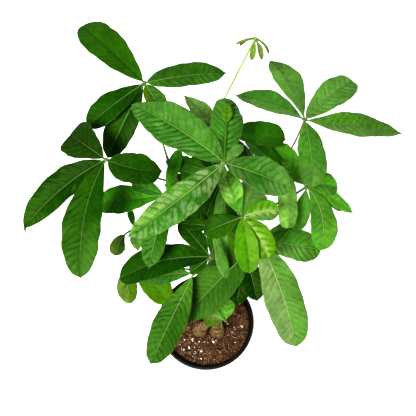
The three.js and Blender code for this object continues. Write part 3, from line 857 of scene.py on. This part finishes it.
def blade_faces(rows, width):
    """Faces of a thin closed sheet: its upper grid, its lower grid, and the edge between them."""
    k, i = np.meshgrid(np.arange(rows - 1), np.arange(width - 1), indexing="ij")
    p = (k * width + i).ravel()
    upper = np.stack([p, p + width, p + width + 1, p + 1], -1)
    left, first = np.arange(rows - 1) * width, np.arange(width - 1)
    right, last = left + width - 1, first + (rows - 1) * width
    down, back = rows * width, [0, 3, 2, 1]

    def band(start, step):
        """Faces from a side of the upper grid down to the lower one."""
        return np.stack([start, start + step, start + step + down, start + down], -1)

    sides = [band(left, width)[:, back], band(right, width), band(first, 1), band(last, 1)[:, back]]
    return np.concatenate([upper, upper[:, ::-1] + down, *sides]).tolist()


def blade_sheet(form):
    """The grid of a leaflet: each point's share of the length and width, and its half's width."""
    long, wide = form["long"], form["wide"]
    bare = form["bare"] / long
    rows = max(24, round(long / BLADE["row"]))
    columns = int(np.clip(round(wide / BLADE["column"]), 4, 13))
    s = (np.arange(rows + 1) / rows) ** 0.97
    v = np.linspace(-1, 1, 2 * columns + 1)
    v = np.sign(v) * np.abs(v) ** 0.9
    t = np.clip((s - bare) / (1 - bare), 0, 1)
    full = np.where(t > 0, outline(t, form["widest"], form["blunt"], form["point"] / long), 0)
    half = np.maximum(np.where(s < 0.5, BLADE["stem_wide"], 0.5), full * wide) / 2
    along, across = np.meshgrid(s, v, indexing="ij")
    left, full = across > 0, full[:, None]
    half = half[:, None] * (1 + (np.where(left, *form["halves"]) - 1) * np.minimum(1, 4 * full))
    return SimpleNamespace(
        s=s, bare=bare, along=along, across=across, out=np.abs(across),
        left=left, full=full, half=half, off=across * half,
    )


def own_share(number, seed):
    """A share that looks random, the same each time for a number and a seed."""
    return np.sin(number * 12.9898 + seed) * 43758.5453 % 1


def blade_lift(form, sheet, phase, order, seed, b, c):
    """How far the upper face lies over the flat blade."""
    long, wide = form["long"], form["wide"]
    along, out, left, full = sheet.along, sheet.out, sheet.left, sheet.full
    near = np.abs(phase - np.round(phase)) * 2
    swell = 1 - (1 - near) ** 2.2
    own_size = 0.55 + 0.75 * own_share(np.floor(phase), seed)
    depth = np.where(left, *form["quilt"]) * BLADE["quilt"] * min(1, wide / 32)
    body = smooth(out, 0.03, 0.3) * (1 - 0.4 * smooth(out, 0.8, 1)) * np.minimum(1, 1.3 * full)
    fold = sheet.half * full * sin(radians(BLADE["fold"])) * (1.4 * out - 0.4 * out**2)
    wave = BLADE["wave"] * wide * full * np.sin(7.5 * along + 1.7 * order) * sheet.across * out
    ripple = 0.02 * wide * full * np.sin(23 * along + b + 1.3 * left) * out**4
    ruffle = form["ruffle"] * full * np.sin(34 * along + c + 2 * left) * out**3
    fields = depth * own_size * (swell - 0.55) * body
    groove = 0.6 * np.exp(-((sheet.off / 0.9) ** 2)) * smooth(along, sheet.bare, sheet.bare + 0.06)
    bow = 0.006 * long * np.sin(5.2 * along + c) * full
    return fold + wave + ripple + ruffle + fields - groove + bow


def blade_tint(form, sheet):
    """The look of each half, with its painted light and shade, eased into those of the tip and the base."""
    look = {part: paint(LOOKS[form[part]]) for part in ("left", "right", "tip", "base") if form[part]}
    tint = np.where(sheet.left[..., None], look["left"], look["right"])
    for part, start, whole in (("tip", 0.45, 0.95), ("base", 0.44, 0.24)):
        if part in look:
            share = smooth(sheet.along, start, whole)[..., None]
            tint = tint * (1 - share) + look[part] * share
    return tint


def blade(mesh, hub, form, order, seed):
    """Adds one leaflet: a thin folded blade, swollen between its side veins."""
    rng = random.Random(seed)
    sheet = blade_sheet(form)
    along, out, left, off = sheet.along, sheet.out, sheet.left, sheet.off
    places, side, up = midline(hub, form, sheet.s)
    a, b, c = (rng.uniform(0, ANY_TURN) for _ in range(3))
    phase = np.where(left, vein_phase(form, along, off, rng), vein_phase(form, along, off, rng))
    edge = 0.03 * np.sin(13 * along + a + 2 * left) * out**3
    uneven = 1 + edge + 0.015 * np.sin(41 * along + b - left) * out**3
    lift = blade_lift(form, sheet, phase, order, seed, b, c) + 0.3
    top = places[:, None] + side[:, None] * (off * uneven)[..., None] + up[:, None] * lift[..., None]
    thick = BLADE["thick"] * (1 - 0.55 * out**4) + 1.2 * smooth(along, sheet.bare * 1.3, 0)
    keel = 0.8 * np.exp(-((off / 0.8) ** 2)) * smooth(along, 1.0, 0.3)
    bottom = top - up[:, None] * (thick + keel)[..., None]
    tint = blade_tint(form, sheet) * (1 + rng.uniform(-0.03, 0.03))
    own_line = 0.6 + 0.7 * own_share(np.round(phase) + 0.5 * left, seed)

    def on_both(value):
        """A value for each point of the upper and then of the lower face."""
        return np.tile(np.broadcast_to(value, along.shape).ravel(), 2)

    mesh.add(
        np.concatenate([top.reshape(-1, 3), bottom.reshape(-1, 3)]), blade_faces(*along.shape),
        tint=np.tile(tint.reshape(-1, 3), (2, 1)), under=np.repeat((0.0, 1.0), along.size),
        across=on_both(sheet.across), off_rib=on_both(off), along=on_both(along), phase=on_both(phase),
        lines=on_both(np.where(left, *form["lines"]) * own_line * (1 - 0.3 * out)),
        sheen=on_both(np.where(left, *form["sheen"])), rib=on_both(form["rib"]),
    )


def stalk(mesh, form, tint):
    """Adds a leaf's long stalk and the knob that its leaflets spring from."""
    start = stem_point(form["stem"], form["at"])
    end = np.array(form["hub"], float)
    span = np.linalg.norm(end - start)
    out = unit((end - start) * (1, 1, 0))
    up = np.array((0, 0, 1.0))
    leave = start + out * (0.5 - form["rise"]) * span + up * form["rise"] * span
    arrive = end + out * (form["drop"] - 0.47) * span - up * form["drop"] * span
    t = np.linspace(0, 1, max(24, int(span / 2.5)))[:, None]
    path = start * (1 - t) ** 3 + 3 * leave * t * (1 - t) ** 2 + 3 * arrive * t**2 * (1 - t) + end * t**3
    t = t[:, 0]
    radii = lerp(STALK["root"], STALK["middle"], smooth(t * span, 3, 16))
    radii = form["slim"] * lerp(radii, STALK["end"], smooth(t, 0.9, 1))
    points = tube(path, radii, STALK["sides"])
    mesh.add(points, ring_faces(len(path), STALK["sides"]), slot=1, tint=np.tile(tint, (len(points), 1)))
    size = KNOB["size"] * form["slim"]
    knob = [
        end + size * np.array((sin(p) * cos(q) * 1.05, sin(p) * sin(q) * 1.05, -cos(p) * 0.85))
        for p in np.linspace(0.05, pi - 0.05, KNOB["rings"]) for q in ring_turns(KNOB["sides"])
    ]
    faces = ring_faces(KNOB["rings"], KNOB["sides"])
    mesh.add(knob, faces, slot=1, tint=np.tile(tint, (len(knob), 1)))


def make_leaves():
    blade_look, stalk_look = leaf_material(), stalk_material()
    for number, (name, form) in enumerate(LEAVES.items()):
        mesh = Mesh()
        tint = paint(STALK_LOOKS[form["stalk"]])
        stalk(mesh, form, tint)
        for order, one in enumerate(form["leaflets"]):
            blade(mesh, np.array(form["hub"], float), one, order, 100 * number + order)
        piece = mesh.build(name.replace("leaf_", "foliage_"), blade_look, stalk_look)
        finish_piece(piece, "leaf_fresh" if name in FRESH_LEAVES else "leaf", name)


# Potting mix


def soil_height(x, y):
    """The surface of the mix: a low mound with slow waves and crumbs."""
    edge = pot_inside(SOIL["level"]) - SOIL["gap"]
    share = np.minimum(1, np.hypot(x, y) / edge)
    waves = np.sin(0.31 * x + 1.3) * np.cos(0.27 * y - 0.4) + 0.6 * np.sin(0.19 * x - 0.23 * y)
    crumbs = 0.5 * np.sin(1.9 * x + 0.7 * y) * np.cos(1.6 * y - 0.5 * x)
    crumbs = crumbs + 0.35 * np.sin(3.1 * x - 1.1 * y + 2) * np.cos(2.7 * y + 0.9 * x)
    return SOIL["level"] + (1 - share**2) * (SOIL["mound"] + SOIL["bump"] * waves) + crumbs * (1 - share**12)


def soil_body():
    """The mix: one ring on the pot's floor, and rings from the wall to the middle on its surface."""
    rings, sides = 110, 300
    edge = pot_inside(SOIL["level"]) - SOIL["gap"]
    bottom = POT["floor"] + SOIL["gap"]
    low = pot_inside(bottom) - SOIL["gap"]
    turns = ring_turns(sides)
    points = [(low * cos(q), low * sin(q), bottom) for q in turns]
    for k in range(rings):
        r = edge * (1 - k / rings)
        x, y = r * np.cos(turns), r * np.sin(turns)
        points += list(zip(x, y, soil_height(x, y)))
    mesh = Mesh()
    mesh.add(points, ring_faces(rings + 1, sides))
    return mesh


def lump(rng, size, flat):
    """A small rough lump: a squashed ball with seven sides and five rings."""
    sides, rings = 7, 5
    stretch = np.array([rng.uniform(0.7, 1.3), rng.uniform(0.7, 1.3), rng.uniform(0.5, 1.0) * flat])
    turn = rng.uniform(0, ANY_TURN)
    points = []
    for polar in np.linspace(0.25, pi - 0.25, rings):
        for q in ring_turns(sides):
            r = size * rng.uniform(0.78, 1.12)
            points.append((sin(polar) * cos(q) * r, sin(polar) * sin(q) * r, -cos(polar) * r))
    points = np.array(points) * stretch
    spin = np.array([[cos(turn), -sin(turn), 0], [sin(turn), cos(turn), 0], [0, 0, 1]])
    return points @ spin.T, ring_faces(rings, sides)


def scatter(rng, count, keep_clear, nearer=None):
    """Random places on the mix, away from the pot's wall and the stems' feet.

    nearer is a place and a distance: farther from it than that, bits get rare.
    """
    edge = pot_inside(SOIL["level"]) - 3
    feet = [stem["foot"] for stem in STEMS.values()]
    places = []
    while len(places) < count:
        x, y = rng.uniform(-edge, edge), rng.uniform(-edge, edge)
        if np.hypot(x, y) > edge:
            continue
        if nearer:
            away = (x - nearer[0]) ** 2 + (y - nearer[1]) ** 2
            if rng.random() > np.exp(-away / nearer[2] ** 2):
                continue
        if min(np.hypot(x - fx, y - fy) for fx, fy in feet) < STEM["bulb"] + keep_clear:
            continue
        places.append((x, y))
    return places


def make_bits(name, material, count, sizes, seed, flat=0.7, nearer=None):
    """Loose lumps on the mix, most of them near the smaller size."""
    rng = random.Random(seed)
    mesh = Mesh()
    for x, y in scatter(rng, count, 1.0, nearer):
        size = lerp(*sizes, rng.random() ** 2)
        points, faces = lump(rng, size, flat)
        points += (x, y, float(soil_height(x, y)) + 0.15 * size)
        mesh.add(points, faces, shade=np.full(len(points), rng.random()))
    finish_piece(mesh.build(name, material, smooth_faces=False), "mix")


def make_fibres(name, material, count, seed):
    """Thin bent threads and splinters of bark that lie on the mix."""
    rng = random.Random(seed)
    sides = 5
    mesh = Mesh()
    for x, y in scatter(rng, count, 4.0):
        turn, length = rng.uniform(0, ANY_TURN), lerp(3, 11, rng.random() ** 1.5)
        bend, t = rng.uniform(-1.2, 1.2), np.linspace(-0.5, 0.5, 7)
        px = x + length * t * cos(turn) - bend * (4 * t**2) * sin(turn)
        py = y + length * t * sin(turn) + bend * (4 * t**2) * cos(turn)
        width = rng.uniform(0.16, 0.5)
        height = soil_height(px, py) + width + 0.3 + rng.uniform(0, 1.5) * (t + 0.5)
        path = np.stack([px, py, height], -1)
        points = tube(path, width * (1 - 1.6 * t**2), sides)
        mesh.add(points, ring_faces(len(path), sides), shade=np.full(len(points), rng.random()))
    finish_piece(mesh.build(name, material), "mix")


def make_mix():
    peat = soil_material("peat", (40, 21, 5), (116, 76, 40))
    finish_piece(soil_body().build("mix_surface", peat), "mix", "soil")
    crumb = bits_material("crumbs", (46, 25, 7), (150, 106, 64), 0.95)
    chip = bits_material("chips", (104, 66, 30), (186, 138, 86), 0.85)
    white = bits_material("perlite", (214, 206, 192), (254, 252, 248), 0.8, 1)
    thread = bits_material("threads", (124, 90, 58), (206, 172, 128), 0.8)
    make_bits("mix_crumbs", crumb, 2500, (0.5, 2.1), 11)
    make_bits("mix_chips", chip, 240, (0.6, 2.2), 12, 0.45)
    make_bits("mix_perlite", white, 120, (0.35, 1.5), 13, 0.8)
    make_bits("mix_perlite_front", white, 30, (0.6, 2.2), 14, 0.8, nearer=(-20, -40, 15))
    make_bits("mix_perlite_middle", white, 9, (0.6, 2.0), 16, 0.8, nearer=(15, -27, 7))
    make_bits("mix_perlite_right", white, 12, (0.6, 1.9), 17, 0.8, nearer=(44, 2, 15))
    make_fibres("mix_threads", thread, 240, 15)


# Pot


def pot_profile():
    """Radii and heights round the wall: under the floor, up outside, over the rim and down inside."""
    rim, base, height, floor = POT["rim"], POT["base"], POT["height"], POT["floor"]
    lip = height - POT["lip"]
    under = [(0.5, 0), (base - 1.2, 0), (base - 0.4, 0.25), (base, 1)]
    outside = [(pot_outside(z), z) for z in range(6, int(lip), 10)]
    outside += [(pot_outside(lip) - 0.1, lip - 0.4), (rim - 1.1, lip), (rim - 0.3, lip + 0.3), (rim, lip + 1)]
    groove = [(rim, height - 5.2), (rim - 0.25, height - 4.9)]
    groove += [(rim - 0.25, height - 4.4), (rim, height - 4.1)]
    edge = [(rim, height - 1), (rim - 0.3, height - 0.3), (rim - 1, height)]
    edge += [(pot_inside(height) + 1, height), (pot_inside(height) + 0.3, height - 0.3)]
    inside = [(pot_inside(height - 1), height - 1)]
    inside += [(pot_inside(z), z) for z in range(int(height) - 10, int(floor) + 4, -10)]
    inside += [(pot_inside(floor) - 0.6, floor), (0.5, floor)]
    return under + outside + groove + edge + inside


def pot_body():
    sides, profile = 160, pot_profile()
    points = [(r * cos(q), r * sin(q), z) for r, z in profile for q in ring_turns(sides)]
    mesh = Mesh()
    mesh.add(points, ring_faces(len(profile), sides))
    return mesh


def cut_holes(piece):
    """Cuts the drainage holes through the pot's floor."""
    for k in range(HOLES["count"]):
        turn = 2 * pi * (k + 0.5) / HOLES["count"]
        place = (HOLES["ring"] * MM * cos(turn), HOLES["ring"] * MM * sin(turn), 0)
        size = dict(radius=HOLES["radius"] * MM, depth=HOLES["drill"] * MM)
        bpy.ops.mesh.primitive_cylinder_add(vertices=40, location=place, **size)
        drill = bpy.context.object
        cut = piece.modifiers.new("hole", "BOOLEAN")
        cut.operation, cut.solver, cut.object = "DIFFERENCE", "EXACT", drill
        bpy.context.view_layer.objects.active = piece
        bpy.ops.object.modifier_apply(modifier=cut.name)
        bpy.data.objects.remove(drill)


def make_pot():
    piece = pot_body().build("pot_shell", pot_material())
    cut_holes(piece)
    finish_piece(piece, "pot", "pot")


# Floor, light and camera


def make_floor():
    bpy.ops.mesh.primitive_plane_add(size=FLOOR["size"], location=(0, 0, -FLOOR["drop"]))
    floor = bpy.context.object
    floor.name = "floor"
    floor.data.materials.append(floor_material())


def make_light():
    """A white world, and one round lamp over the front left."""
    world = bpy.data.worlds.new("studio")
    bpy.context.scene.world = world
    world.use_nodes = True
    background = world.node_tree.nodes["Background"].inputs
    background["Color"].default_value = (1, 1, 1, 1)
    background["Strength"].default_value = LIGHT["world"]
    light = bpy.data.lights.new("key", "AREA")
    light.shape, light.size, light.energy = "DISK", LIGHT["size"], LIGHT["key"]
    lamp = add_object("key", light)
    lamp.location = LIGHT["place"]
    away = (lamp.location - Vector(LIGHT["aim"])).normalized()
    lamp.rotation_euler = away.to_track_quat("Z", "Y").to_euler()


def make_camera():
    """The photo's view: steeply down from the front."""
    camera = bpy.data.cameras.new("camera")
    camera.lens, camera.sensor_width = CAMERA["lens"], CAMERA["sensor"]
    eye = add_object("camera", camera)
    eye.location = CAMERA["place"]
    eye.rotation_euler = (radians(90 - CAMERA["down"]), 0, 0)
    bpy.context.scene.camera = eye


make_camera()
make_stems()
make_leaves()
make_mix()
make_pot()
make_floor()
make_light()
bpy.context.scene.view_settings.view_transform = "Standard"
bpy.context.scene.view_settings.look = "Medium High Contrast"
